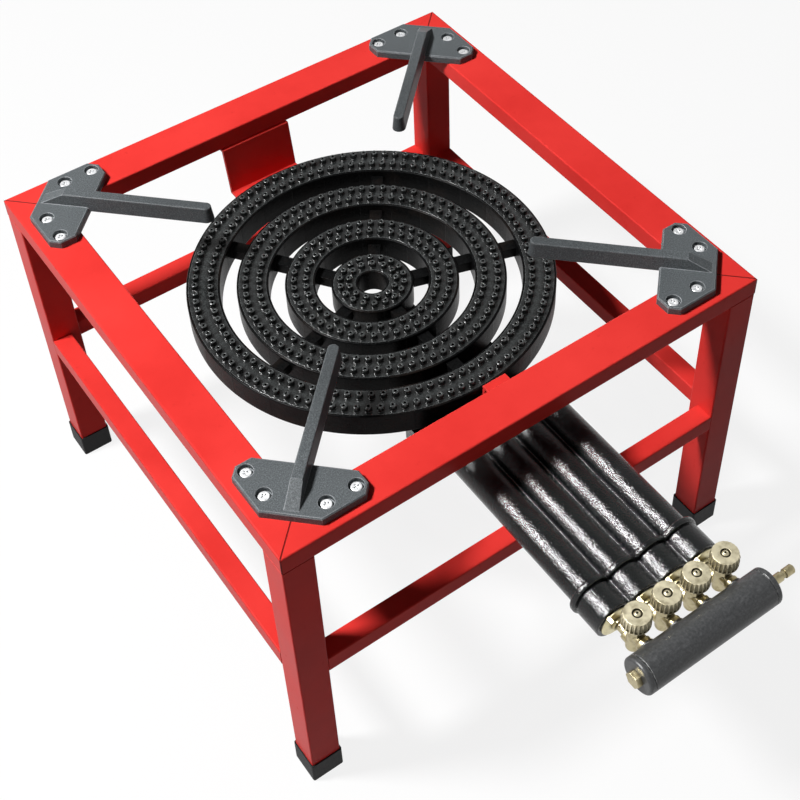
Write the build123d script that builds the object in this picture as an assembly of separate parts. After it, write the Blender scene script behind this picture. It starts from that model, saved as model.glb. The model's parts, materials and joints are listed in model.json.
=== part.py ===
from build123d import *
import math
import os

# Square stand of welded steel tube
frame_side = 500.0
stand_height = 362.0
top_rail_width = 40.0
top_rail_height = 20.0
top_rail_wall = 1.5
leg_side = 30.0
leg_wall = 1.5
lower_rail_side = 20.0
lower_rail_wall = 1.5
lower_rail_drop = 175.0
tube_corner_radius = 1.5
foot_cap_height = 27.0
foot_cap_base = 4.0
foot_cap_wall = 1.2
foot_cap_round = 2.0

# Clearances
slip_gap = 0.1
casting_gap = 0.2
running_gap = 0.05

# Burner: a centre disc and three rings, in rising steps
centre_hole_radius = 14.0
disc_width = 25.0
ring_2_width = 28.5
ring_3_width = 30.0
ring_4_width = 31.5
ring_gap = 15.0
ring_depth = 25.0
ring_step = 4.5
burner_drop = 45.0
ring_wall = 4.5
ring_floor = 4.0
ring_rim = 2.0
ring_edge = 1.2
ring_sectors = [10, 15, 20, 25]
cover_thickness = 4.0
bridge_count = 5
bridge_width = 12.0
bridge_height = 11.0
bridge_drop = 3.0

# Raised jets on the covers
jet_pitch = 10.6
jet_row_inset = 8.5
jet_base_radius = 3.6
jet_top_radius = 3.0
jet_height = 4.8
jet_edge = 0.4
jet_bore_radius = 1.3

# Feed casting under the rings
feed_block_depth = 18.0
feed_block_gap = 4.0
feed_wall = 3.0
feed_top_margin = 3.0
duct_height = 20.0
duct_drop = 3.0
duct_gap = 2.0
duct_end = 12.0
riser_radius = 7.5
riser_bore_radius = 5.0

# Mixing tubes and their mouth sleeves
tube_pitch = 30.5
tube_radius = 15.5
tube_bore_radius = 11.5
tube_axis_drop = 72.0
tube_length = 186.0
tube_sectors = 8
flange_radius = 20.0
flange_thickness = 6.0
flange_round = 2.0
seam_radius = 1.5
tube_seam_rise = 5.0
sleeve_seam_rise = 11.0
sleeve_radius = 18.2
sleeve_bore_radius = 12.5
sleeve_length = 27.0
sleeve_groove_width = 2.4
sleeve_groove_depth = 2.6
sleeve_lip_round = 1.0
spider_inset = 4.0
spider_depth = 6.0
spider_wall = 2.5
spider_arm_width = 2.5
spider_arms = 3

# Needle valves
valve_reach = 22.4
inlet_rise = 10.0
body_radius = 6.2
body_below = 9.0
body_above = 16.0
body_edge = 0.6
body_foot_round = 2.5
inlet_radius = 5.5
inlet_bore_radius = 2.6
outlet_radius = 6.2
outlet_length = 1.2
union_radius = 6.8
union_length = 5.0
union_round = 1.8
union_thread_radius = 4.6
chamber_radius = 3.4
seat_radius = 1.5
seat_height = 3.0
packing_across = 14.0
packing_height = 7.5
stem_radius = 3.0
needle_length = 6.0
needle_tip_radius = 0.6
stem_dome = 1.2
stem_rise = 0.8
stem_centre_radius = 1.0
stem_centre_depth = 1.5
knob_radius = 12.2
knob_height = 12.5
knob_lift = 3.1
knob_recess_radius = 4.3
knob_recess_depth = 3.0
knob_flute_count = 22
knob_flute_radius = 1.3
knob_cone_height = 4.0
knob_cone_inset = 1.1
knob_lip_height = 1.2
knob_edge = 0.6

# Jet nozzles and air shutters
nozzle_radius = 4.0
nozzle_thread_radius = 4.6
nozzle_thread_length = 4.5
nozzle_collar_across = 11.0
nozzle_collar_length = 1.0
nozzle_tip_length = 5.0
nozzle_tip_radius = 1.6
nozzle_bore_radius = 0.8
shutter_radius = 14.6
shutter_thickness = 1.0
shutter_dish = 2.0
shutter_hub_radius = 6.0
shutter_hub_length = 3.0
shutter_tab_width = 3.0
shutter_tab_length = 6.0
shutter_tab_angle = 35.0
shutter_gap = 0.7

# Gas manifold
manifold_reach = 30.0
manifold_radius = 16.5
manifold_wall = 3.0
manifold_pad_radius = 7.6
manifold_length = 126.0
manifold_cap_length = 6.0
manifold_cap_round = 2.4
manifold_cap_wall = 3.0
manifold_seam = 0.8
plug_across = 13.0
plug_height = 5.0
plug_thread_radius = 5.0
barb_radius = 4.2
barb_neck_radius = 3.2
barb_bore_radius = 2.0
barb_length = 26.0
barb_collar_radius = 4.9
barb_collar_length = 2.0
barb_count = 2
barb_groove_width = 3.0
barb_chamfer = 1.0

# Pan supports on the frame's corners
plate_thickness = 8.0
plate_margin = 8.0
plate_arm = 93.0
plate_inner_sum = 124.0
plate_outer_sum = 52.0
plate_clip = 8.0
plate_edge = 1.2
bar_top_width = 10.0
bar_height = 20.0
bar_lift = 4.0
bar_draft = 6.0
bar_tip_reach = 145.0
ramp_foot_reach = 29.0
ramp_top_reach = 45.0
bar_edge = 1.2
support_screw_near = 55.5
support_screw_far = 83.5
screw_shank_radius = 2.6
screw_head_radius = 4.9
screw_head_height = 2.6
screw_length = 14.0
screw_slot_width = 1.2
screw_slot_depth = 1.0
counterbore_radius = 6.7
counterbore_depth = 4.8

# Brackets and bolts that hold the burner in the frame
bracket_plate = 3.0
front_bracket_width = 24.0
front_bracket_overlap = 24.0
front_bracket_inset = 6.0
rear_bracket_width = 76.0
rear_bracket_lip = 22.0
rear_bracket_lean = 10.0
rear_bracket_shelf_inset = 8.0
rear_bolt_offset = 25.0
bolt_radius = 3.0
bolt_head_across = 10.0
bolt_head_height = 4.0
front_bolt_depth = 10.0

# Heights from the floor and places in plan, the stand's middle at zero
half_side = frame_side / 2
rail_under = stand_height - top_rail_height
lower_rail_top = stand_height - lower_rail_drop
ring_widths = [disc_width, ring_2_width, ring_3_width, ring_4_width]
ring_count = len(ring_widths)
ring_4_top = stand_height - burner_drop
tube_axis_z = stand_height - tube_axis_drop
tube_xs = [(k - (ring_count - 1) / 2) * tube_pitch for k in range(ring_count)]


def ring_sizes():
    """Inner radius, outer radius and top height of the disc and each ring, from the middle out."""
    sizes = []
    inner = centre_hole_radius
    for index, width in enumerate(ring_widths):
        top = ring_4_top - ring_step * (ring_count - 1 - index)
        sizes.append((inner, inner + width, top))
        inner += width + ring_gap
    return sizes


rings = ring_sizes()
burner_radius = rings[-1][1]
disc_under = rings[0][2] - ring_depth
duct_top = disc_under - duct_drop
duct_under = duct_top - duct_height
feed_back_y = -(burner_radius + feed_block_gap)
feed_front_y = feed_back_y - feed_block_depth
feed_top = tube_axis_z + tube_radius + feed_top_margin
flange_front_y = feed_front_y - tube_length
mouth_y = flange_front_y - sleeve_length
valve_y = mouth_y - valve_reach
manifold_y = valve_y - manifold_reach
inlet_z = tube_axis_z + inlet_rise
body_top = tube_axis_z + body_above
packing_top = body_top + packing_height
knob_under = packing_top + knob_lift
knob_top = knob_under + knob_height
manifold_back_y = manifold_y + manifold_radius
outlet_y = valve_y + body_radius + outlet_length
collar_y = outlet_y + nozzle_collar_length
# The tube on the far left feeds the outer ring, the far right one the next, then the middle two.
feeds = {3: tube_xs[0], 2: tube_xs[3], 1: tube_xs[1], 0: tube_xs[2]}

# The origin is under the middle of the whole object's box, so the stand stands back from it.
front_end = manifold_y - manifold_radius
back_end = half_side + slip_gap + foot_cap_wall
centre_shift_y = -(front_end + back_end) / 2


def box(x0, x1, y0, y1, z0, z1):
    middle = Pos((x0 + x1) / 2, (y0 + y1) / 2, (z0 + z1) / 2)
    return middle * Box(x1 - x0, y1 - y0, z1 - z0)


def rod_z(radius, x, y, z0, z1):
    return Pos(x, y, (z0 + z1) / 2) * Cylinder(radius, z1 - z0)


def rod_y(radius, x, z, y0, y1):
    return Pos(x, (y0 + y1) / 2, z) * Rot(90, 0, 0) * Cylinder(radius, y1 - y0)


def rod_x(radius, y, z, x0, x1):
    return Pos((x0 + x1) / 2, y, z) * Rot(0, 90, 0) * Cylinder(radius, x1 - x0)


def hexagon_z(across, x, y, z0, z1):
    profile = Plane.XY.offset(z0) * Pos(x, y) * RegularPolygon(across / 2, 6, major_radius=False)
    return extrude(profile, z1 - z0)


def hexagon_y(across, x, z, y0, y1):
    upright = Plane(origin=(x, y0, z), x_dir=(1, 0, 0), z_dir=(0, 1, 0))
    return extrude(upright * RegularPolygon(across / 2, 6, major_radius=False), y1 - y0)


def hexagon_x(across, y, z, x0, x1):
    upright = Plane(origin=(x0, y, z), x_dir=(0, 1, 0), z_dir=(1, 0, 0))
    return extrude(upright * RegularPolygon(across / 2, 6, major_radius=False), x1 - x0)


def yz_plate(points, width):
    """A bent plate: its section in the Y and Z plane, run across the middle."""
    section = Plane.YZ * make_face(Polyline(*points, close=True))
    return extrude(section, width / 2, both=True)


def square_tube(width, height, wall, length):
    """A closed tube along X, its middle at zero."""
    outer = Plane.YZ * RectangleRounded(width, height, tube_corner_radius)
    inner = Plane.YZ * Rectangle(width - 2 * wall, height - 2 * wall)
    return extrude(outer - inner, length / 2, both=True)


def turned(solid, quarter):
    return Rot(0, 0, 90 * quarter) * solid


def support_holes(radius, z0, z1):
    """The screw places of one rail, two by each corner, along the front rail."""
    line_y = -half_side + top_rail_width / 2
    xs = [half_side - support_screw_near, half_side - support_screw_far]
    return [rod_z(radius, side * x, line_y, z0, z1) for side in (-1, 1) for x in xs]


def top_rail(quarter):
    """The front rail, mitred at both ends, turned to its side of the stand."""
    tube = square_tube(top_rail_width, top_rail_height, top_rail_wall, frame_side)
    rail = Pos(0, -half_side + top_rail_width / 2, stand_height - top_rail_height / 2) * tube
    corners = [(-half_side, -half_side), (half_side, -half_side), (0, 0)]
    wedge = Plane.XY.offset(rail_under) * make_face(Polyline(*corners, close=True))
    rail = rail & extrude(wedge, top_rail_height)
    for hole in support_holes(screw_shank_radius + slip_gap, stand_height - top_rail_wall, stand_height):
        rail = rail - hole
    return turned(rail, quarter)


def leg(side_x, side_y):
    tube = Rot(0, 90, 0) * square_tube(leg_side, leg_side, leg_wall, rail_under - foot_cap_base)
    middle = half_side - leg_side / 2
    return Pos(side_x * middle, side_y * middle, (rail_under + foot_cap_base) / 2) * tube


def foot_cap(side_x, side_y):
    outer_side = leg_side + 2 * (slip_gap + foot_cap_wall)
    half_pocket = leg_side / 2 + slip_gap
    cup = Pos(0, 0, foot_cap_height / 2) * Box(outer_side, outer_side, foot_cap_height)
    cup = fillet(cup.edges().filter_by(Axis.Z), foot_cap_round)
    cup = fillet(cup.faces().sort_by(Axis.Z)[0].edges(), foot_cap_round / 2)
    pocket = box(-half_pocket, half_pocket, -half_pocket, half_pocket, foot_cap_base, foot_cap_height)
    middle = half_side - leg_side / 2
    return Pos(side_x * middle, side_y * middle, 0) * (cup - pocket)


def lower_rail(quarter):
    span = frame_side - 2 * leg_side
    tube = square_tube(lower_rail_side, lower_rail_side, lower_rail_wall, span)
    rail = Pos(0, -half_side + lower_rail_side / 2, lower_rail_top - lower_rail_side / 2) * tube
    return turned(rail, quarter)


def annulus(inner, outer, z0, z1):
    return extrude(Plane.XY.offset(z0) * (Circle(outer) - Circle(inner)), z1 - z0)


def riser_place(index):
    """Where a ring's feed riser comes up, on the middle line of its trough."""
    inner, outer, top = rings[index]
    x = feeds[index]
    return x, -math.sqrt(((inner + outer) / 2) ** 2 - x ** 2)


def rear_bolt_places():
    inner, outer, top = rings[-1]
    y = math.sqrt(((inner + outer) / 2) ** 2 - rear_bolt_offset ** 2)
    return [(-rear_bolt_offset, y), (rear_bolt_offset, y)]


def bridges(index):
    """Bars from a ring's inner wall to the ring or disc inside it."""
    inner, outer, top = rings[index]
    inside_outer = rings[index - 1][1] + casting_gap
    bar_top = rings[index - 1][2] - bridge_drop
    bar_under = bar_top - bridge_height
    bar = box(0, inner + ring_wall, -bridge_width / 2, bridge_width / 2, bar_under, bar_top)
    bar = bar & annulus(inside_outer, inner, bar_under, bar_top)
    turn = 360 / bridge_count
    return [Rot(0, 0, -90 + turn * k) * bar for k in range(bridge_count)]


def trough_section(index):
    """A ring's section: an open trough with a ledge for its cover and rounded outer edges."""
    inner, outer, top = rings[index]
    under = top - ring_depth
    floor_top = under + ring_floor
    cover_seat = top - cover_thickness
    points = [(inner, under), (outer, under), (outer, top), (outer - ring_rim, top)]
    points += [(outer - ring_rim, cover_seat), (outer - ring_wall, cover_seat)]
    points += [(outer - ring_wall, floor_top), (inner + ring_wall, floor_top)]
    points += [(inner + ring_wall, cover_seat), (inner + ring_rim, cover_seat)]
    points += [(inner + ring_rim, top), (inner, top)]
    section = make_face(Polyline(*points, close=True))
    walls = section.vertices().group_by(Axis.X)
    return fillet(walls[0] + walls[-1], ring_edge)


def ring_body(index):
    """A trough laid out as equal sectors that meet face to face, and its bridges."""
    inner, outer, top = rings[index]
    floor_under = top - ring_depth
    floor_top = floor_under + ring_floor
    holes = [rod_z(riser_bore_radius, *riser_place(index), floor_under, floor_top)]
    if index == ring_count - 1:
        for x, y in rear_bolt_places():
            holes.append(rod_z(bolt_radius + slip_gap, x, y, floor_under, floor_top))
    turn = 360 / ring_sectors[index]
    sector = revolve(Plane.XZ * trough_section(index), Axis.Z, revolution_arc=turn)
    solids = []
    for k in range(ring_sectors[index]):
        placed = Rot(0, 0, -90 + turn * (k - 0.5)) * sector
        for hole in holes:
            placed = placed - hole
        solids.append(placed)
    return solids + bridges(index) if index > 0 else solids


def jet_places(index):
    """Two rows of jets round a cover, evenly spaced."""
    inner, outer, top = rings[index]
    places = []
    for radius in (inner + jet_row_inset, outer - jet_row_inset):
        count = round(2 * math.pi * radius / jet_pitch)
        for k in range(count):
            angle = 2 * math.pi * k / count
            places.append((radius * math.cos(angle), radius * math.sin(angle)))
    return places


def ring_cover(index):
    inner, outer, top = rings[index]
    plate = Circle(outer - ring_rim - slip_gap) - Circle(inner + ring_rim + slip_gap)
    bores = [Pos(x, y) * Circle(jet_bore_radius) for x, y in jet_places(index)]
    plate = extrude(Plane.XY.offset(top - cover_thickness) * (plate - bores), cover_thickness)
    points = [(jet_bore_radius, 0), (jet_base_radius, 0), (jet_top_radius, jet_height - jet_edge)]
    points += [(jet_top_radius - jet_edge, jet_height), (jet_bore_radius, jet_height)]
    jet = revolve(Plane.XZ * make_face(Polyline(*points, close=True)), Axis.Z)
    return plate + [Pos(x, y, top) * jet for x, y in jet_places(index)]


def feed_casting():
    """A front block that the tubes butt against, and a duct under the rings to each riser."""
    half_width = ring_count * tube_pitch / 2
    body = box(-half_width, half_width, feed_front_y, feed_back_y, duct_under, feed_top)
    half_duct = (tube_pitch - duct_gap) / 2
    half_passage = half_duct - feed_wall
    for index, x in feeds.items():
        riser_x, riser_y = riser_place(index)
        ring_under = rings[index][2] - ring_depth
        body = body + box(x - half_duct, x + half_duct, feed_back_y, riser_y + duct_end, duct_under, duct_top)
        body = body + rod_z(riser_radius, riser_x, riser_y, duct_top, ring_under)
    passage_floor = duct_under + feed_wall
    for index, x in feeds.items():
        riser_x, riser_y = riser_place(index)
        ring_under = rings[index][2] - ring_depth
        left = x - half_passage
        right = x + half_passage
        chamber_front = feed_front_y + feed_wall
        chamber_back = feed_back_y - feed_wall
        chamber_top = feed_top - feed_wall
        passage_end = riser_y + duct_end - feed_wall
        body = body - box(left, right, chamber_front, chamber_back, passage_floor, chamber_top)
        body = body - box(left, right, chamber_back, passage_end, passage_floor, duct_top - feed_wall)
        body = body - rod_z(riser_bore_radius, riser_x, riser_y, passage_floor, ring_under)
        body = body - rod_y(tube_bore_radius, x, tube_axis_z, feed_front_y, chamber_front)
    bolt_y = front_bolt_y()
    return body - rod_z(bolt_radius + slip_gap, 0, bolt_y, feed_top - front_bolt_depth, feed_top)


def front_bolt_y():
    return (feed_front_y + front_bracket_inset + feed_back_y) / 2


def between_neighbours(solid, k, y0, y1):
    """Trims a cast tube flat on each side where another lies against it."""
    reach = 2 * flange_radius
    flat = (tube_pitch - casting_gap) / 2
    left = reach if k == 0 else flat
    right = reach if k == ring_count - 1 else flat
    x = tube_xs[k]
    return solid & box(x - left, x + right, y0, y1, tube_axis_z - reach, tube_axis_z + reach)


def side_seams(k, rise, y0, y1):
    """Small casting seams in the valleys between a tube and its neighbours."""
    valleys = [tube_xs[k] + side * tube_pitch / 2 for side in (-1, 1) if 0 <= k + side < ring_count]
    return [rod_y(seam_radius, x, tube_axis_z + rise, y0, y1) for x in valleys]


def lengthwise_sectors(tube, k, y0, y1):
    """Divides a cast tube along its length into equal sectors that meet face to face."""
    turn = 360 / tube_sectors
    reach = 2 * flange_radius
    rise = reach * math.tan(math.radians(turn / 2))
    wedge = make_face(Polyline((0, 0), (reach, -rise), (reach, rise), close=True))
    wedge = extrude(Plane.XZ.offset(-y1) * wedge, y1 - y0)
    centre = Pos(tube_xs[k], 0, tube_axis_z)
    return [tube & (centre * Rot(0, turn * (j + 0.5), 0) * wedge) for j in range(tube_sectors)]


def mixing_tube(k):
    """A tube with a raised flange at its mouth end."""
    x = tube_xs[k]
    flange_back_y = flange_front_y + flange_thickness
    tube = rod_y(tube_radius, x, tube_axis_z, flange_back_y, feed_front_y)
    tube = tube + side_seams(k, tube_seam_rise, flange_back_y, feed_front_y)
    flange = rod_y(flange_radius, x, tube_axis_z, flange_front_y, flange_back_y)
    tube = tube + fillet(flange.edges().filter_by(GeomType.CIRCLE), flange_round)
    tube = tube - rod_y(tube_bore_radius, x, tube_axis_z, flange_front_y, feed_front_y)
    tube = between_neighbours(tube, k, flange_front_y, feed_front_y)
    return lengthwise_sectors(tube, k, flange_front_y, feed_front_y)


def mouth_sleeve(k):
    """A short sleeve before the tube, with a spider in it."""
    x = tube_xs[k]
    groove_front_y = flange_front_y - sleeve_groove_width
    sleeve = rod_y(sleeve_radius, x, tube_axis_z, mouth_y, groove_front_y)
    sleeve = fillet(sleeve.faces().sort_by(Axis.Y)[0].edges(), sleeve_lip_round)
    sleeve = sleeve + side_seams(k, sleeve_seam_rise, mouth_y + sleeve_lip_round, groove_front_y)
    neck_radius = sleeve_radius - sleeve_groove_depth
    sleeve = sleeve + rod_y(neck_radius, x, tube_axis_z, groove_front_y, flange_front_y)
    sleeve = sleeve - rod_y(sleeve_bore_radius, x, tube_axis_z, mouth_y, flange_front_y)
    sleeve = between_neighbours(sleeve, k, mouth_y, flange_front_y)
    return lengthwise_sectors(sleeve, k, mouth_y, flange_front_y) + spider(k)


def spider(k):
    """A hub on the jet nozzle, and the arms that hold it in the sleeve."""
    front = mouth_y + spider_inset
    back = front + spider_depth
    hub_radius = nozzle_radius + spider_wall
    hub = rod_y(hub_radius, 0, 0, front, back) - rod_y(nozzle_radius + running_gap, 0, 0, front, back)
    arm = box(0, sleeve_bore_radius, front, back, -spider_arm_width / 2, spider_arm_width / 2)
    arm = arm & rod_y(sleeve_bore_radius, 0, 0, front, back)
    arm = arm - rod_y(hub_radius, 0, 0, front, back)
    turn = 360 / spider_arms
    arms = [Rot(0, turn * j + turn / 4, 0) * arm for j in range(spider_arms)]
    return [Pos(tube_xs[k], 0, tube_axis_z) * solid for solid in [hub] + arms]


def valve_body(k):
    """A barrel with a needle seat, an inlet hole at the back and an outlet to the jet below it."""
    x = tube_xs[k]
    body_under = tube_axis_z - body_below
    seat_top = tube_axis_z + seat_height
    barrel = rod_z(body_radius, x, valve_y, body_under, body_top)
    ends = barrel.edges().filter_by(GeomType.CIRCLE).sort_by(Axis.Z)
    barrel = fillet(ends[:1], body_foot_round)
    barrel = fillet(barrel.edges().filter_by(GeomType.CIRCLE).sort_by(Axis.Z)[-1:], body_edge)
    body = barrel + rod_y(outlet_radius, x, tube_axis_z, valve_y, outlet_y)
    body = body - rod_z(chamber_radius, x, valve_y, seat_top, body_top)
    body = body - rod_z(seat_radius, x, valve_y, tube_axis_z, seat_top)
    body = body - rod_y(seat_radius, x, tube_axis_z, valve_y - seat_radius, outlet_y)
    socket_y = outlet_y - nozzle_thread_length
    body = body - rod_y(nozzle_thread_radius + running_gap, x, tube_axis_z, socket_y, outlet_y)
    return body - rod_y(inlet_bore_radius, x, inlet_z, valve_y - body_radius, valve_y)


def inlet_union(k):
    """A round collar screwed into the manifold, with a spigot brazed to the valve's barrel."""
    x = tube_xs[k]
    union_y = manifold_back_y + union_length
    thread_y = manifold_back_y - manifold_wall
    union = rod_y(union_radius, x, inlet_z, manifold_back_y, union_y)
    union = fillet(union.faces().sort_by(Axis.Y)[-1].edges(), union_round)
    union = union + rod_y(inlet_radius, x, inlet_z, union_y, valve_y)
    union = union + rod_y(union_thread_radius, x, inlet_z, thread_y, manifold_back_y)
    union = union - rod_z(body_radius, x, valve_y, inlet_z - union_radius, inlet_z + union_radius)
    return union - rod_y(inlet_bore_radius, x, inlet_z, thread_y, valve_y)


def packing_nut(k):
    x = tube_xs[k]
    nut = hexagon_z(packing_across, x, valve_y, body_top, packing_top)
    cone = Pos(x, valve_y, body_top) * Cone(packing_across, packing_across / 2, packing_height)
    cone = Pos(0, 0, packing_height / 2) * cone
    return (nut & cone) - rod_z(stem_radius + running_gap, x, valve_y, body_top, packing_top)


def valve_stem(k):
    """A needle, a shank and a domed end that stands up out of the knob's recess."""
    seat_top = tube_axis_z + seat_height
    needle_tip = seat_top - needle_length / 4
    shank_under = needle_tip + needle_length
    shank_top = knob_top + stem_rise
    points = [(0, needle_tip), (needle_tip_radius, needle_tip), (stem_radius, shank_under)]
    points += [(stem_radius, shank_top - stem_dome), (stem_radius - stem_dome, shank_top), (0, shank_top)]
    stem = revolve(Plane.XZ * make_face(Polyline(*points, close=True)), Axis.Z)
    stem = stem - rod_z(stem_centre_radius, 0, 0, shank_top - stem_centre_depth, shank_top)
    return Pos(tube_xs[k], valve_y, 0) * stem


def valve_knob(k):
    """A turned knob with a coned shoulder, flutes round its side and a recess for the stem's end."""
    bore = stem_radius + running_gap
    cone_under = knob_top - knob_cone_height
    recess_floor = knob_top - knob_recess_depth
    points = [(bore, knob_under), (knob_radius - knob_edge, knob_under)]
    points += [(knob_radius, knob_under + knob_edge), (knob_radius, cone_under)]
    points += [(knob_radius - knob_cone_inset, knob_top)]
    points += [(knob_recess_radius, knob_top), (knob_recess_radius, recess_floor), (bore, recess_floor)]
    knob = revolve(Plane.XZ * make_face(Polyline(*points, close=True)), Axis.Z)
    flute = rod_z(knob_flute_radius, knob_radius, 0, knob_under + knob_lip_height, knob_top)
    turn = 360 / knob_flute_count
    knob = knob - [Rot(0, 0, turn * j) * flute for j in range(knob_flute_count)]
    return Pos(tube_xs[k], valve_y, 0) * knob


def jet_nozzle(k):
    """A brass tube from the valve, through the shutter, to the spider in the sleeve."""
    thread_y = outlet_y - nozzle_thread_length
    tip_y = mouth_y + spider_inset + spider_depth
    end_y = tip_y + nozzle_tip_length
    points = [(nozzle_bore_radius, thread_y), (nozzle_thread_radius, thread_y)]
    points += [(nozzle_thread_radius, outlet_y), (nozzle_radius, outlet_y), (nozzle_radius, tip_y)]
    points += [(nozzle_tip_radius, end_y), (nozzle_bore_radius, end_y)]
    tube = revolve(make_face(Polyline(*points, close=True)), Axis.Y)
    collar = hexagon_y(nozzle_collar_across, 0, 0, outlet_y, collar_y)
    collar = collar - rod_y(nozzle_bore_radius, 0, 0, outlet_y, collar_y)
    return Pos(tube_xs[k], 0, tube_axis_z) * (tube + collar)


def air_shutter(k):
    """A thin dished disc near the mouth, on a hub that slides on the nozzle, with a finger tab."""
    bore = nozzle_radius + running_gap
    rim_y = mouth_y - shutter_gap
    disc_front = rim_y - shutter_dish
    hub_front = disc_front - shutter_hub_length
    points = [(bore, hub_front), (shutter_hub_radius, hub_front), (shutter_hub_radius, disc_front)]
    points += [(shutter_radius, rim_y - shutter_thickness), (shutter_radius, rim_y)]
    points += [(shutter_hub_radius, disc_front + shutter_thickness), (bore, disc_front + shutter_thickness)]
    disc = revolve(make_face(Polyline(*points, close=True)), Axis.Y)
    half_tab = shutter_tab_width / 2
    tab_under = shutter_radius - shutter_thickness
    tab_top = shutter_radius + shutter_thickness
    tab = box(-half_tab, half_tab, rim_y - shutter_tab_length, rim_y, tab_under, tab_top)
    return Pos(tube_xs[k], 0, tube_axis_z) * (disc + Rot(0, -shutter_tab_angle, 0) * tab)


def manifold_pipe():
    """A pipe with a small flat pad where each valve screws in."""
    half = manifold_length / 2
    pipe = rod_x(manifold_radius, manifold_y, inlet_z, -half, half)
    for x in tube_xs:
        pipe = pipe + rod_y(manifold_pad_radius, x, inlet_z, manifold_y, manifold_back_y)
    pipe = pipe - rod_x(manifold_radius - manifold_wall, manifold_y, inlet_z, -half, half)
    for x in tube_xs:
        pipe = pipe - rod_y(union_thread_radius + running_gap, x, inlet_z, manifold_y, manifold_back_y)
    return pipe


def manifold_cap(side, hole_radius):
    """A welded end cap with a shallow seam groove where it meets the pipe."""
    half = manifold_length / 2
    outer = half + manifold_cap_length
    seam_end = half + manifold_seam
    cap = rod_x(manifold_radius, manifold_y, inlet_z, seam_end, outer)
    cap = fillet(cap.faces().sort_by(Axis.X)[-1].edges(), manifold_cap_round)
    cap = cap + rod_x(manifold_radius - manifold_seam, manifold_y, inlet_z, half, seam_end)
    cap = cap - rod_x(manifold_radius - manifold_wall, manifold_y, inlet_z, half, outer - manifold_cap_wall)
    cap = cap - rod_x(hole_radius, manifold_y, inlet_z, outer - manifold_cap_wall, outer)
    return cap if side > 0 else mirror(cap, Plane.YZ)


def manifold_plug():
    outer = manifold_length / 2 + manifold_cap_length
    head = hexagon_x(plug_across, manifold_y, inlet_z, -outer - plug_height, -outer)
    return head + rod_x(plug_thread_radius, manifold_y, inlet_z, -outer, -outer + manifold_cap_wall)


def hose_barb():
    """A collar against the cap, then raised lands that hold a rubber hose."""
    outer = manifold_length / 2 + manifold_cap_length
    barb_start = outer + barb_collar_length
    step = (barb_length - barb_collar_length) / barb_count
    thread_end = outer - manifold_cap_wall
    points = [(thread_end, barb_bore_radius), (thread_end, barb_neck_radius), (outer, barb_neck_radius)]
    points += [(outer, barb_collar_radius), (barb_start, barb_collar_radius), (barb_start, barb_neck_radius)]
    for j in range(barb_count):
        land_end = barb_start + step * (j + 1)
        land_start = land_end - step + barb_groove_width
        points += [(land_start, barb_neck_radius), (land_start, barb_radius)]
        points += [(land_end - barb_chamfer, barb_radius), (land_end, barb_neck_radius)]
    points += [(land_end, barb_bore_radius)]
    barb = revolve(make_face(Polyline(*points, close=True)), Axis.X)
    return Pos(0, manifold_y, inlet_z) * barb


def support_plate_outline():
    """The corner plate's outline, measured from the frame's corner, alike about the diagonal."""
    near = plate_margin
    arm = plate_arm
    half = [(near, plate_outer_sum - near), (near, arm - plate_clip)]
    half += [(near + plate_clip, arm), (plate_inner_sum - arm, arm)]
    return half + [(v, u) for u, v in reversed(half)]


def pan_support(quarter):
    """A corner plate with a bar that runs inwards along the diagonal, ramped at its outer end."""
    outline = make_face(Polyline(*support_plate_outline(), close=True))
    plate = extrude(outline, plate_thickness)
    plate = chamfer(plate.faces().sort_by(Axis.Z)[-1].edges(), plate_edge)
    diagonal = math.sqrt(2)
    start = ramp_foot_reach * diagonal
    tip = bar_tip_reach * diagonal
    half = bar_top_width / 2
    strip = Pos((start + tip - half) / 2, 0) * Rectangle(tip - half - start, bar_top_width)
    strip = strip + Pos(tip - half, 0) * Circle(half)
    bar = extrude(Plane.XY.offset(bar_height) * strip, bar_lift - bar_height, taper=-bar_draft)
    bar = fillet(bar.faces().sort_by(Axis.Z)[-1].edges(), bar_edge)
    ramp_top = ramp_top_reach * diagonal
    before = start - bar_height
    above = bar_height + plate_thickness
    wedge = [(before, above), (before, plate_thickness), (start, plate_thickness)]
    wedge += [(ramp_top, bar_height), (ramp_top, above)]
    cutter = extrude(Plane.XZ * make_face(Polyline(*wedge, close=True)), bar_top_width * 2, both=True)
    support = plate + Rot(0, 0, 45) * (bar - cutter)
    line = top_rail_width / 2
    counterbore_floor = plate_thickness - counterbore_depth
    for reach in (support_screw_near, support_screw_far):
        for x, y in ((reach, line), (line, reach)):
            support = support - rod_z(screw_shank_radius + slip_gap, x, y, 0, plate_thickness)
            support = support - rod_z(counterbore_radius, x, y, counterbore_floor, plate_thickness)
    return turned(Pos(-half_side, -half_side, stand_height) * support, quarter)


def support_screw(x, y):
    seat = stand_height + plate_thickness - counterbore_depth
    head_top = seat + screw_head_height
    head = rod_z(screw_head_radius, x, y, seat, head_top)
    head = fillet(head.edges().sort_by(Axis.Z)[-1:], screw_head_height / 3)
    half_slot = screw_slot_width / 2
    reach = screw_head_radius / 2
    slot_under = head_top - screw_slot_depth
    head = head - box(x - reach, x + reach, y - half_slot, y + half_slot, slot_under, head_top)
    head = head - box(x - half_slot, x + half_slot, y - reach, y + reach, slot_under, head_top)
    return head + rod_z(screw_shank_radius, x, y, seat - screw_length, seat)


def support_screws():
    line = -half_side + top_rail_width / 2
    places = []
    for reach in (support_screw_near, support_screw_far):
        places += [(-half_side + reach, line), (line, -half_side + reach)]
    return [turned(support_screw(x, y), quarter) for quarter in range(4) for x, y in places]


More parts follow.
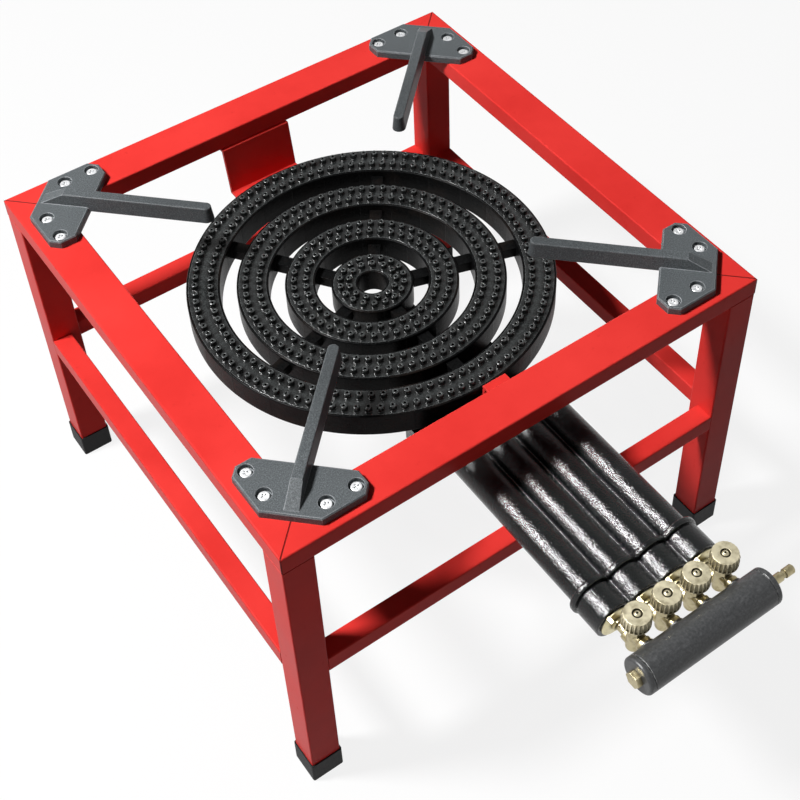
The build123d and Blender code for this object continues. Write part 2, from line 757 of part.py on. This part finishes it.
def front_bracket():
    """A strap welded under the front rail, bent down to a foot on the feed casting."""
    start_y = -half_side + top_rail_width - front_bracket_overlap
    drop_y = feed_front_y + front_bracket_inset
    inner_y = drop_y - bracket_plate
    points = [(start_y, rail_under), (drop_y, rail_under), (drop_y, feed_top + bracket_plate)]
    points += [(feed_back_y, feed_top + bracket_plate), (feed_back_y, feed_top), (inner_y, feed_top)]
    points += [(inner_y, rail_under - bracket_plate), (start_y, rail_under - bracket_plate)]
    strap = yz_plate(points, front_bracket_width)
    hole = rod_z(bolt_radius + slip_gap, 0, front_bolt_y(), feed_top, feed_top + bracket_plate)
    return strap - hole


def rear_bracket():
    """A bent plate welded under the back rail, with a shelf under the outer ring."""
    inner, outer, top = rings[-1]
    shelf_top = top - ring_depth
    shelf_under = shelf_top - bracket_plate
    bend_y = half_side - top_rail_width
    foot_y = bend_y - rear_bracket_lean
    shelf_end = inner + rear_bracket_shelf_inset
    lip_end = bend_y + rear_bracket_lip
    lip_under = rail_under - bracket_plate
    points = [(bend_y - bracket_plate, rail_under), (lip_end, rail_under), (lip_end, lip_under)]
    points += [(bend_y, lip_under), (foot_y + bracket_plate, shelf_under)]
    points += [(shelf_end, shelf_under), (shelf_end, shelf_top), (foot_y, shelf_top)]
    plate = yz_plate(points, rear_bracket_width)
    for x, y in rear_bolt_places():
        plate = plate - rod_z(bolt_radius + slip_gap, x, y, shelf_under, shelf_top)
    return plate


def burner_bolts():
    """Two bolts up through the rear shelf, and one down through the front strap."""
    shelf_top = rings[-1][2] - ring_depth
    shelf_under = shelf_top - bracket_plate
    bolts = []
    for x, y in rear_bolt_places():
        head = hexagon_z(bolt_head_across, x, y, shelf_under - bolt_head_height, shelf_under)
        bolts.append(head + rod_z(bolt_radius, x, y, shelf_under, shelf_top + ring_floor))
    strap_top = feed_top + bracket_plate
    y = front_bolt_y()
    head = hexagon_z(bolt_head_across, 0, y, strap_top, strap_top + bolt_head_height)
    bolts.append(head + rod_z(bolt_radius, 0, y, feed_top - front_bolt_depth, strap_top))
    return bolts


def assembly():
    """Every sub-part by name. A list is a group of like solids under one name."""
    sides = ["front", "right", "back", "left"]
    corners = {"front_left": (-1, -1), "front_right": (1, -1), "back_right": (1, 1), "back_left": (-1, 1)}
    nodes = {}
    for quarter, side in enumerate(sides):
        nodes[f"top_rail_{side}"] = top_rail(quarter)
        nodes[f"lower_rail_{side}"] = lower_rail(quarter)
    for quarter, (corner, (side_x, side_y)) in enumerate(corners.items()):
        nodes[f"leg_{corner}"] = leg(side_x, side_y)
        nodes[f"pan_support_{corner}"] = pan_support(quarter)
    nodes["foot_caps"] = [foot_cap(side_x, side_y) for side_x, side_y in corners.values()]
    nodes["pan_support_screws"] = support_screws()
    nodes["burner_front_bracket"] = front_bracket()
    nodes["burner_rear_bracket"] = rear_bracket()
    nodes["burner_bolts"] = burner_bolts()
    nodes["feed_casting"] = feed_casting()
    for index in range(ring_count):
        nodes[f"ring_body_{index + 1}"] = ring_body(index)
        nodes[f"ring_cover_{index + 1}"] = ring_cover(index)
    for k in range(ring_count):
        nodes[f"mixing_tube_{k + 1}"] = mixing_tube(k)
        nodes[f"mouth_sleeve_{k + 1}"] = mouth_sleeve(k)
        nodes[f"valve_stem_{k + 1}"] = valve_stem(k)
        nodes[f"valve_knob_{k + 1}"] = valve_knob(k)
        nodes[f"air_shutter_{k + 1}"] = air_shutter(k)
    nodes["valve_bodies"] = [valve_body(k) for k in range(ring_count)]
    nodes["inlet_unions"] = [inlet_union(k) for k in range(ring_count)]
    nodes["packing_nuts"] = [packing_nut(k) for k in range(ring_count)]
    nodes["jet_nozzles"] = [jet_nozzle(k) for k in range(ring_count)]
    nodes["manifold_pipe"] = manifold_pipe()
    nodes["manifold_caps"] = [manifold_cap(-1, plug_thread_radius + running_gap),
                              manifold_cap(1, barb_neck_radius + running_gap)]
    nodes["manifold_plug"] = manifold_plug()
    nodes["hose_barb"] = hose_barb()
    return nodes


def main():
    os.makedirs("parts", exist_ok=True)
    shift = Pos(0, centre_shift_y, 0)
    for name, shape in assembly().items():
        solids = shape if isinstance(shape, list) else [shape]
        placed = [shift * solid for solid in solids]
        export_step(Compound(children=placed) if len(placed) > 1 else placed[0], f"parts/{name}.step")


main()
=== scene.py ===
import json
import math

import bpy
from mathutils import Matrix, Vector


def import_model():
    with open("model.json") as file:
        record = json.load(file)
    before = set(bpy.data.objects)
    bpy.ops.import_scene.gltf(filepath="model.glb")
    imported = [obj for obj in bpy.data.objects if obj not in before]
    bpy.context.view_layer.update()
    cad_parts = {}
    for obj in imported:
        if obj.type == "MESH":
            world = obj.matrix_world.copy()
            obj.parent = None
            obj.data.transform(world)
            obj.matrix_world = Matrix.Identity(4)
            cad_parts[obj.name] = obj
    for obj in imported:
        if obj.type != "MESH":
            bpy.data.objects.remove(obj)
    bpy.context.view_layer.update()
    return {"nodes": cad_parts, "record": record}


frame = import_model()
nodes = frame["nodes"]

# The stand's side, and the middle and height of its top face, in metres
STAND_SIDE = 0.5
STAND_Y = 0.1133
STAND_TOP = 0.362

# The camera, solved from the edges of the square stand: its angles in degrees, its place in stand sides
# from the middle of the top face, and its lens in pixels of a square picture
CAMERA_AZIMUTH = -35.39828
CAMERA_ELEVATION = 45.42562
CAMERA_ROLL = 0.86237
CAMERA_PLACE = (-1.03859, -1.71667, 1.97067)
PICTURE_PIXELS = 800.0
FOCAL_PIXELS = 1524.57493
MIDDLE_PIXEL = (450.0, 260.0)

# How bright the surroundings show, and how much of it falls on the object
FLOOR_REACH = 14.0
FLOOR_SHOWN = 0.86
FLOOR_BOUNCE = 0.20
SKY_SHOWN = 1.0
SKY_SHOWN_OVERHEAD = 0.45
SKY_BOUNCE = 0.045


# Node trees


class Tree:
    """A node tree that starts empty, with short calls for the nodes used here."""

    def __init__(self, owner):
        owner.use_nodes = True
        self.tree = owner.node_tree
        self.tree.nodes.clear()

    def node(self, kind, **values):
        made = self.tree.nodes.new(kind)
        for key, value in values.items():
            setattr(made, key, value)
        return made

    def link(self, source, target):
        self.tree.links.new(source, target)

    def span(self, value, low, high, to_low=0.0, to_high=1.0):
        """A value that runs from to_low to to_high, and no further, as another runs from low to high."""
        made = self.node("ShaderNodeMapRange", clamp=True)
        self.link(value, made.inputs["Value"])
        for key, number in (("From Min", low), ("From Max", high), ("To Min", to_low), ("To Max", to_high)):
            made.inputs[key].default_value = number
        return made.outputs[0]

    def math(self, operation, first, second=0.0):
        made = self.node("ShaderNodeMath", operation=operation)
        for socket, value in zip(made.inputs, (first, second)):
            if isinstance(value, bpy.types.NodeSocket):
                self.link(value, socket)
            else:
                socket.default_value = value
        return made.outputs[0]

    def axes(self, place):
        split = self.node("ShaderNodeSeparateXYZ")
        self.link(place, split.inputs[0])
        return split.outputs["X"], split.outputs["Y"], split.outputs["Z"]

    def seen_directly(self):
        """1 on rays that show the background: from the camera, off metal and gloss, or through glass."""
        path = self.node("ShaderNodeLightPath")
        seen = path.outputs["Is Camera Ray"]
        for other in ("Is Glossy Ray", "Is Transmission Ray"):
            seen = self.math("MAXIMUM", seen, path.outputs[other])
        return seen


class Finish(Tree):
    """A material's node tree around one Principled shader."""

    def __init__(self, name):
        self.material = bpy.data.materials.new(name)
        super().__init__(self.material)
        self.output = self.node("ShaderNodeOutputMaterial")
        self.shader = self.node("ShaderNodeBsdfPrincipled")
        self.link(self.shader.outputs[0], self.output.inputs["Surface"])
        self.place = self.node("ShaderNodeTexCoord").outputs["Object"]

    def set(self, **values):
        for key, value in values.items():
            self.shader.inputs[key.replace("_", " ")].default_value = value

    def stretch(self, scale):
        """Object coordinates, stretched by a factor along each axis."""
        mapping = self.node("ShaderNodeMapping")
        mapping.inputs["Scale"].default_value = scale
        self.link(self.place, mapping.inputs["Vector"])
        return mapping.outputs[0]

    def noise(self, scale, detail=4.0, rough=0.55, place=None):
        made = self.node("ShaderNodeTexNoise")
        made.inputs["Scale"].default_value = scale
        made.inputs["Detail"].default_value = detail
        made.inputs["Roughness"].default_value = rough
        self.link(place or self.place, made.inputs["Vector"])
        return made.outputs["Fac"]

    def cells(self, scale):
        made = self.node("ShaderNodeTexVoronoi")
        made.inputs["Scale"].default_value = scale
        self.link(self.place, made.inputs["Vector"])
        return made.outputs["Distance"]

    def ramp(self, value, *stops):
        """A colour from a value, by stops that each give a place and a colour."""
        made = self.node("ShaderNodeValToRGB")
        points = made.color_ramp.elements
        while len(points) < len(stops):
            points.new(0.5)
        for point, (at, colour) in zip(points, stops):
            point.position = at
            point.color = (*colour, 1.0)
        self.link(value, made.inputs["Fac"])
        return made.outputs["Color"]

    def mix(self, factor, first, second):
        made = self.node("ShaderNodeMix", data_type="RGBA")
        self.link(factor, made.inputs[0])
        for socket, value in ((made.inputs[6], first), (made.inputs[7], second)):
            if isinstance(value, bpy.types.NodeSocket):
                self.link(value, socket)
            else:
                socket.default_value = (*value, 1.0)
        return made.outputs[2]

    def tint(self, tone, value, share, colour):
        """A tone with a share of another colour where a value is 1."""
        return self.mix(self.math("MULTIPLY", value, share), tone, colour)

    def rounded(self, radius):
        """The surface's direction, with its edges rounded by a radius in metres."""
        made = self.node("ShaderNodeBevel", samples=6)
        made.inputs["Radius"].default_value = radius
        return made.outputs[0]

    def edge(self, normal, low, high):
        """How far a rounded direction has turned from the face's own, from 0 on the flat to 1 at an edge."""
        face = self.node("ShaderNodeNewGeometry").outputs["True Normal"]
        dot = self.node("ShaderNodeVectorMath", operation="DOT_PRODUCT")
        self.link(normal, dot.inputs[0])
        self.link(face, dot.inputs[1])
        return self.span(dot.outputs["Value"], low, high)

    def hollow(self, reach, low, high):
        """1 in narrow hollows and corners, 0 in the open."""
        made = self.node("ShaderNodeAmbientOcclusion", samples=8)
        made.inputs["Distance"].default_value = reach
        return self.span(made.outputs["AO"], high, low)

    def from_middle(self):
        """X and Y, counted from the stand's middle."""
        x, y, _ = self.axes(self.place)
        return x, self.math("SUBTRACT", y, STAND_Y)

    def mitre(self, width):
        """1 along the joints where the top rails meet at 45 degrees."""
        x, y = self.from_middle()
        off_diagonal = self.math("SUBTRACT", self.math("ABSOLUTE", x), self.math("ABSOLUTE", y))
        return self.span(self.math("ABSOLUTE", off_diagonal), width, width * 0.4)

    def inwards(self, near, far):
        """1 within a distance of the burner's middle, 0 beyond a second one."""
        x, y = self.from_middle()
        squares = self.math("ADD", self.math("POWER", x, 2.0), self.math("POWER", y, 2.0))
        return self.span(self.math("SQRT", squares), far, near)

    def colour(self, socket):
        self.link(socket, self.shader.inputs["Base Color"])

    def roughness(self, socket):
        self.link(socket, self.shader.inputs["Roughness"])

    def bump(self, *layers, normal=None):
        """Height layers, each a value with its strength and its depth in metres."""
        for height, strength, depth in layers:
            made = self.node("ShaderNodeBump")
            made.inputs["Strength"].default_value = strength
            made.inputs["Distance"].default_value = depth
            self.link(height, made.inputs["Height"])
            if normal:
                self.link(normal, made.inputs["Normal"])
            normal = made.outputs[0]
        self.link(normal, self.shader.inputs["Normal"])


def scaled(colour, factor):
    return tuple(min(1.0, channel * factor) for channel in colour)


# Materials


def red_paint(name, mitred):
    """Sprayed enamel: a fine orange peel, a little unevenness in shade, small dull scuffs."""
    deep, middle, bright = (0.66, 0.031, 0.026), (0.74, 0.040, 0.034), (0.80, 0.048, 0.040)
    g = Finish(name)
    cloud = g.noise(9.0, detail=5.0)
    tone = g.ramp(cloud, (0.3, deep), (0.52, middle), (0.75, bright))
    scuff = g.span(g.noise(140.0, detail=6.0, rough=0.7, place=g.stretch((1, 1, 0.35))), 0.62, 0.72)
    tone = g.tint(tone, scuff, 0.30, (0.52, 0.014, 0.012))
    specks = g.span(g.cells(420.0), 0.06, 0.02)
    tone = g.tint(tone, specks, 0.20, (0.86, 0.13, 0.11))
    edge = g.rounded(0.0007)
    # Paler pink along the rounded edges: a painted highlight
    tone = g.tint(tone, g.edge(edge, 0.99, 0.90), 0.35, (0.86, 0.16, 0.14))
    layers = [(g.noise(650.0, detail=3.0), 0.12, 0.0004), (g.noise(60.0, detail=2.0), 0.06, 0.0008)]
    if mitred:
        joint = g.mitre(0.0011)
        tone = g.tint(tone, joint, 0.85, (0.09, 0.006, 0.006))
        layers.append((g.math("SUBTRACT", 1.0, joint), 0.8, 0.0006))
    g.colour(tone)
    g.roughness(g.math("ADD", g.span(cloud, 0.3, 0.7, 0.30, 0.40), g.math("MULTIPLY", scuff, 0.18)))
    g.set(IOR=1.5, Specular_IOR_Level=0.035)
    g.bump(*layers, normal=edge)
    return g.material


def support_iron():
    """Cast iron under a thin satin black coat: a sandy grain, darker towards the burner's middle, paler along
    its edges as rubbed wear and painted highlight.
    """
    pit, coat, peak = (0.052, 0.058, 0.062), (0.098, 0.109, 0.115), (0.195, 0.212, 0.220)
    g = Finish("support_iron")
    grain = g.noise(900.0, detail=4.0, rough=0.65)
    cloud = g.noise(30.0)
    tone = g.ramp(grain, (0.30, pit), (0.50, coat), (0.72, peak))
    tone = g.mix(g.span(cloud, 0.45, 0.75, 0.0, 0.35), tone, (0.095, 0.104, 0.110))
    # Darker towards the burner's middle
    tone = g.tint(tone, g.inwards(0.19, 0.285), 0.42, (0.022, 0.024, 0.025))
    edge = g.rounded(0.0012)
    # Paler along the edges: partly rubbed wear, partly a painted highlight
    wear_and_highlight = g.math("MULTIPLY", g.edge(edge, 0.995, 0.90), g.span(cloud, 0.35, 0.6, 0.45, 1.0))
    g.colour(g.mix(wear_and_highlight, tone, (0.42, 0.44, 0.46)))
    g.roughness(g.span(grain, 0.3, 0.7, 0.36, 0.52))
    g.set(IOR=1.5, Specular_IOR_Level=0.14)
    g.bump((g.noise(600.0, rough=0.6), 0.5, 0.0004), (g.cells(260.0), 0.12, 0.0004), normal=edge)
    return g.material


def burner_iron(name, coat, warm, gloss, shine, radius, shade_reach, shade_low, shade_high, wear_and_highlight):
    """Cast iron in thin glossy black paint: painted shade in its corners, rims paler with a painted
    highlight, with a warm bloom.
    """
    g = Finish(name)
    grain = g.noise(520.0, detail=5.0, rough=0.65)
    cloud = g.noise(24.0, detail=5.0, rough=0.6)
    tone = g.ramp(grain, (0.32, scaled(coat, 0.3)), (0.55, coat), (0.8, scaled(coat, 2.2)))
    tone = g.mix(g.span(cloud, 0.50, 0.72, 0.0, warm), tone, (0.026, 0.017, 0.013))
    edge = g.rounded(radius)
    if wear_and_highlight:
        # Paler rims: a painted highlight on the edges
        tone = g.tint(tone, g.edge(edge, 0.96, 0.78), wear_and_highlight, (0.36, 0.38, 0.38))
    # Darker in hollows and corners, deepest at the feet of the jets: painted shade
    painted_shade = g.hollow(shade_reach, shade_low, shade_high)
    g.colour(g.tint(tone, painted_shade, 0.90, (0.0025, 0.0025, 0.0025)))
    g.roughness(g.span(grain, 0.3, 0.75, gloss, gloss + 0.16))
    g.set(IOR=1.5, Specular_IOR_Level=shine)
    g.bump((grain, 0.30, 0.0005), (g.noise(110.0, detail=3.0), 0.25, 0.0008), normal=edge)
    return g.material


def tube_enamel():
    """Thick gloss black over a grainy casting, so that a highlight breaks into bright flecks."""
    deep, middle, pale = (0.004, 0.0045, 0.005), (0.008, 0.009, 0.0095), (0.016, 0.017, 0.018)
    g = Finish("tube_enamel")
    flecks = g.noise(640.0, detail=2.0, rough=0.6)
    grain = g.noise(1100.0, detail=2.0, rough=0.5)
    lumps = g.noise(130.0, detail=3.0, rough=0.5, place=g.stretch((1.0, 0.5, 1.0)))
    g.colour(g.ramp(lumps, (0.3, deep), (0.6, middle), (0.85, pale)))
    g.roughness(g.span(grain, 0.35, 0.70, 0.08, 0.14))
    g.set(IOR=1.5, Specular_IOR_Level=0.42)
    g.bump((flecks, 0.50, 0.0010), (grain, 0.25, 0.0004), (lumps, 0.10, 0.0008))
    return g.material


def brass(name, light, dark, rough, ringed):
    """Pale turned brass with fine tool marks, and painted shade in the hollows, which are also rougher."""
    g = Finish(name)
    cloud = g.noise(180.0, detail=5.0, rough=0.6)
    tone = g.ramp(cloud, (0.28, dark), (0.50, light), (0.78, scaled(light, 1.10)))
    stain = g.span(g.noise(60.0, detail=6.0, rough=0.65), 0.58, 0.74, 0.0, 0.40)
    tone = g.mix(stain, tone, scaled(dark, 0.6))
    # Darker in the hollows and under the knobs: painted shade
    hollow_shade = g.hollow(0.0040, 0.45, 0.95)
    g.colour(g.tint(tone, hollow_shade, 0.92, (0.040, 0.031, 0.016)))
    marks = g.noise(2600.0, detail=2.0, rough=0.5, place=g.stretch(ringed))
    matt = g.math("ADD", g.span(cloud, 0.3, 0.7, rough, rough + 0.14), g.math("MULTIPLY", marks, 0.06))
    g.roughness(g.math("ADD", matt, g.math("MULTIPLY", hollow_shade, 0.25)))
    g.set(Metallic=1.0)
    g.bump((marks, 0.14, 0.0002), (g.noise(420.0, detail=3.0), 0.10, 0.0004), normal=g.rounded(0.0004))
    return g.material


def manifold_coat():
    """A dull charcoal stoving paint with a leathery texture, chipped pale along its edges, dusty."""
    pit, coat, peak = (0.028, 0.029, 0.030), (0.054, 0.056, 0.058), (0.098, 0.100, 0.104)
    g = Finish("manifold_coat")
    grain = g.noise(480.0, detail=5.0, rough=0.65)
    cloud = g.noise(45.0)
    tone = g.ramp(grain, (0.3, pit), (0.55, coat), (0.8, peak))
    tone = g.mix(g.span(cloud, 0.52, 0.70, 0.0, 0.5), tone, (0.036, 0.037, 0.038))
    edge = g.rounded(0.0012)
    chipped = g.math("MULTIPLY", g.edge(edge, 0.99, 0.90), g.span(g.noise(210.0, detail=3.0), 0.48, 0.58))
    tone = g.tint(tone, chipped, 0.8, (0.42, 0.42, 0.42))
    streaks = g.noise(160.0, detail=6.0, rough=0.7, place=g.stretch((0.35, 1, 1)))
    g.colour(g.mix(g.span(streaks, 0.56, 0.72, 0.0, 0.45), tone, (0.15, 0.15, 0.155)))
    g.roughness(g.span(grain, 0.3, 0.7, 0.34, 0.50))
    g.set(IOR=1.5, Specular_IOR_Level=0.5)
    g.bump((grain, 0.35, 0.0005), (g.cells(340.0), 0.15, 0.0004), normal=edge)
    return g.material


def zinc_steel():
    """Bright zinc on screws and bolts, slightly clouded, with painted shade in its slots."""
    dull, middle, bright = (0.68, 0.69, 0.70), (0.86, 0.87, 0.88), (0.93, 0.94, 0.95)
    g = Finish("zinc_steel")
    cloud = g.noise(420.0, detail=5.0, rough=0.6)
    tone = g.ramp(cloud, (0.3, dull), (0.55, middle), (0.8, bright))
    # Darker in the slots and recesses: painted shade
    g.colour(g.tint(tone, g.hollow(0.0012, 0.25, 0.70), 0.8, (0.05, 0.05, 0.05)))
    g.roughness(g.span(cloud, 0.3, 0.7, 0.30, 0.46))
    g.set(Metallic=0.55)
    g.bump((g.noise(1500.0, detail=3.0), 0.12, 0.0002), normal=g.rounded(0.0003))
    return g.material


def foot_rubber():
    """Moulded black plastic-rubber with a dull skin and dusty scuffs."""
    g = Finish("foot_rubber")
    grain = g.noise(800.0, rough=0.6)
    tone = g.ramp(grain, (0.3, (0.005, 0.005, 0.0055)), (0.7, (0.013, 0.013, 0.0135)))
    dust = g.span(g.noise(55.0, detail=6.0, rough=0.65), 0.58, 0.74, 0.0, 0.4)
    g.colour(g.mix(dust, tone, (0.030, 0.029, 0.028)))
    g.roughness(g.span(grain, 0.3, 0.7, 0.50, 0.68))
    g.set(IOR=1.5, Specular_IOR_Level=0.15)
    g.bump((grain, 0.25, 0.0004), normal=g.rounded(0.0008))
    return g.material


rail_red = red_paint("rail_red", mitred=True)
finishes = {
    "frame_paint": red_paint("frame_red", mitred=False),
    "foot_rubber": foot_rubber(),
    "support_iron": support_iron(),
    "screw_steel": zinc_steel(),
    # ring_iron and cover_iron are one black paint: ring_iron's darker coat is painted shade on the walls,
    # cover_iron's paler coat painted light on the tops
    "burner_iron": burner_iron("ring_iron", coat=(0.004, 0.0042, 0.0044), warm=0.45, gloss=0.26, shine=0.05,
                               radius=0.0005, shade_reach=0.004, shade_low=0.35, shade_high=0.85, wear_and_highlight=0.0),
    "jet_iron": burner_iron("cover_iron", coat=(0.036, 0.040, 0.040), warm=0.05, gloss=0.10, shine=0.48,
                            radius=0.0007, shade_reach=0.006, shade_low=0.80, shade_high=0.99, wear_and_highlight=0.75),
    "tube_iron": tube_enamel(),
    "valve_brass": brass("valve_brass", light=(0.48, 0.42, 0.26), dark=(0.24, 0.19, 0.09), rough=0.26,
                         ringed=(1, 1, 1)),
    "knob_brass": brass("knob_brass", light=(0.80, 0.73, 0.52), dark=(0.58, 0.51, 0.32), rough=0.30,
                        ringed=(1, 1, 0.12)),
    "shutter_brass": brass("shutter_brass", light=(0.66, 0.60, 0.38), dark=(0.44, 0.37, 0.19), rough=0.26,
                           ringed=(1, 0.1, 1)),
    "stem_steel": brass("stem_brass", light=(0.68, 0.62, 0.44), dark=(0.46, 0.40, 0.24), rough=0.24,
                        ringed=(1, 1, 0.2)),
    "manifold_paint": manifold_coat(),
}

slots = {entry["node"]: entry["material_slot"] for entry in frame["record"]["subparts"]}
for name, node in nodes.items():
    node.data.materials.clear()
    node.data.materials.append(rail_red if name.startswith("top_rail") else finishes[slots[name]])


# Floor, light and camera


def add(name, data):
    made = bpy.data.objects.new(name, data)
    bpy.context.scene.collection.objects.link(made)
    return made


def floor_white():
    """White that glows where it is seen, keeps a pale shadow, and is clear from below."""
    material = bpy.data.materials.new("floor_white")
    t = Tree(material)
    output = t.node("ShaderNodeOutputMaterial")
    matt = t.node("ShaderNodeBsdfDiffuse")
    glow = t.node("ShaderNodeEmission")
    above = t.node("ShaderNodeMixShader")
    seen = t.seen_directly()
    t.link(t.span(seen, 0.0, 1.0, FLOOR_BOUNCE, FLOOR_SHOWN), matt.inputs["Color"])
    t.link(t.span(seen, 0.0, 1.0, 0.0, FLOOR_SHOWN), above.inputs[0])
    t.link(matt.outputs[0], above.inputs[1])
    t.link(glow.outputs[0], above.inputs[2])
    sides = t.node("ShaderNodeMixShader")
    t.link(t.node("ShaderNodeNewGeometry").outputs["Backfacing"], sides.inputs[0])
    t.link(above.outputs[0], sides.inputs[1])
    t.link(t.node("ShaderNodeBsdfTransparent").outputs[0], sides.inputs[2])
    t.link(sides.outputs[0], output.inputs["Surface"])
    return material


def floor():
    reach = FLOOR_REACH
    mesh = bpy.data.meshes.new("floor")
    corners = [(-reach, -reach, 0), (reach, -reach, 0), (reach, reach, 0), (-reach, reach, 0)]
    mesh.from_pydata(corners, [], [(0, 1, 2, 3)])
    mesh.materials.append(floor_white())
    made = add("floor", mesh)


def world():
    """White all round, greyer overhead, with a low even light on the object."""
    made = bpy.data.worlds.new("studio")
    bpy.context.scene.world = made
    t = Tree(made)
    output = t.node("ShaderNodeOutputWorld")
    background = t.node("ShaderNodeBackground")
    _, _, height = t.axes(t.node("ShaderNodeTexCoord").outputs["Generated"])
    level = t.node("ShaderNodeMix")
    level.inputs[2].default_value = SKY_BOUNCE
    t.link(t.seen_directly(), level.inputs[0])
    t.link(t.span(height, 0.35, 0.95, SKY_SHOWN, SKY_SHOWN_OVERHEAD), level.inputs[3])
    t.link(level.outputs[0], background.inputs["Strength"])
    t.link(background.outputs[0], output.inputs["Surface"])


def lamp(name, place, target, size, watts):
    light = bpy.data.lights.new(name, "AREA")
    light.shape = "DISK"
    light.size = size
    light.energy = watts
    made = add(name, light)
    made.location = place
    made.rotation_euler = (Vector(target) - Vector(place)).to_track_quat("-Z", "Y").to_euler()
    return made


def lamps():
    """A high lamp on the left, a weak wide one in front, and a panel that shows only in gloss."""
    aim = Vector((0.0, STAND_Y - 0.05, 0.3))
    lamp("key", aim + 2.8 * Vector((-0.50, 0.20, 0.84)), aim, size=0.45, watts=105.0)
    lamp("fill", (-1.9, -2.2, 0.9), aim, size=1.6, watts=4.8)
    panel = lamp("panel", aim + 2.2 * Vector((-0.57, 0.25, 0.78)), aim, size=0.65, watts=88.0)
    panel.visible_diffuse = False
    panel.visible_camera = False


def camera():
    azimuth, elevation, roll = (math.radians(a) for a in (CAMERA_AZIMUTH, CAMERA_ELEVATION, CAMERA_ROLL))
    back = Vector((math.sin(azimuth) * math.cos(elevation), -math.cos(azimuth) * math.cos(elevation),
                   math.sin(elevation)))
    right = (-back).cross(Vector((0, 0, 1))).normalized()
    down = (-back).cross(right)
    rolled_right = math.cos(roll) * right + math.sin(roll) * down
    rolled_up = math.sin(roll) * right - math.cos(roll) * down
    lens = bpy.data.cameras.new("camera")
    lens.sensor_fit = "HORIZONTAL"
    lens.sensor_width = 36.0
    lens.lens = lens.sensor_width * FOCAL_PIXELS / PICTURE_PIXELS
    lens.shift_x = (PICTURE_PIXELS / 2 - MIDDLE_PIXEL[0]) / PICTURE_PIXELS
    lens.shift_y = (MIDDLE_PIXEL[1] - PICTURE_PIXELS / 2) / PICTURE_PIXELS
    lens.clip_end = 60.0
    made = add("camera", lens)
    turned = Matrix((rolled_right, rolled_up, back)).transposed().to_4x4()
    spot = Vector(CAMERA_PLACE) * STAND_SIDE + Vector((0, STAND_Y, STAND_TOP))
    made.matrix_world = Matrix.Translation(spot) @ turned
    bpy.context.scene.camera = made


floor()
world()
lamps()
camera()
bpy.context.scene.view_settings.view_transform = "Standard"
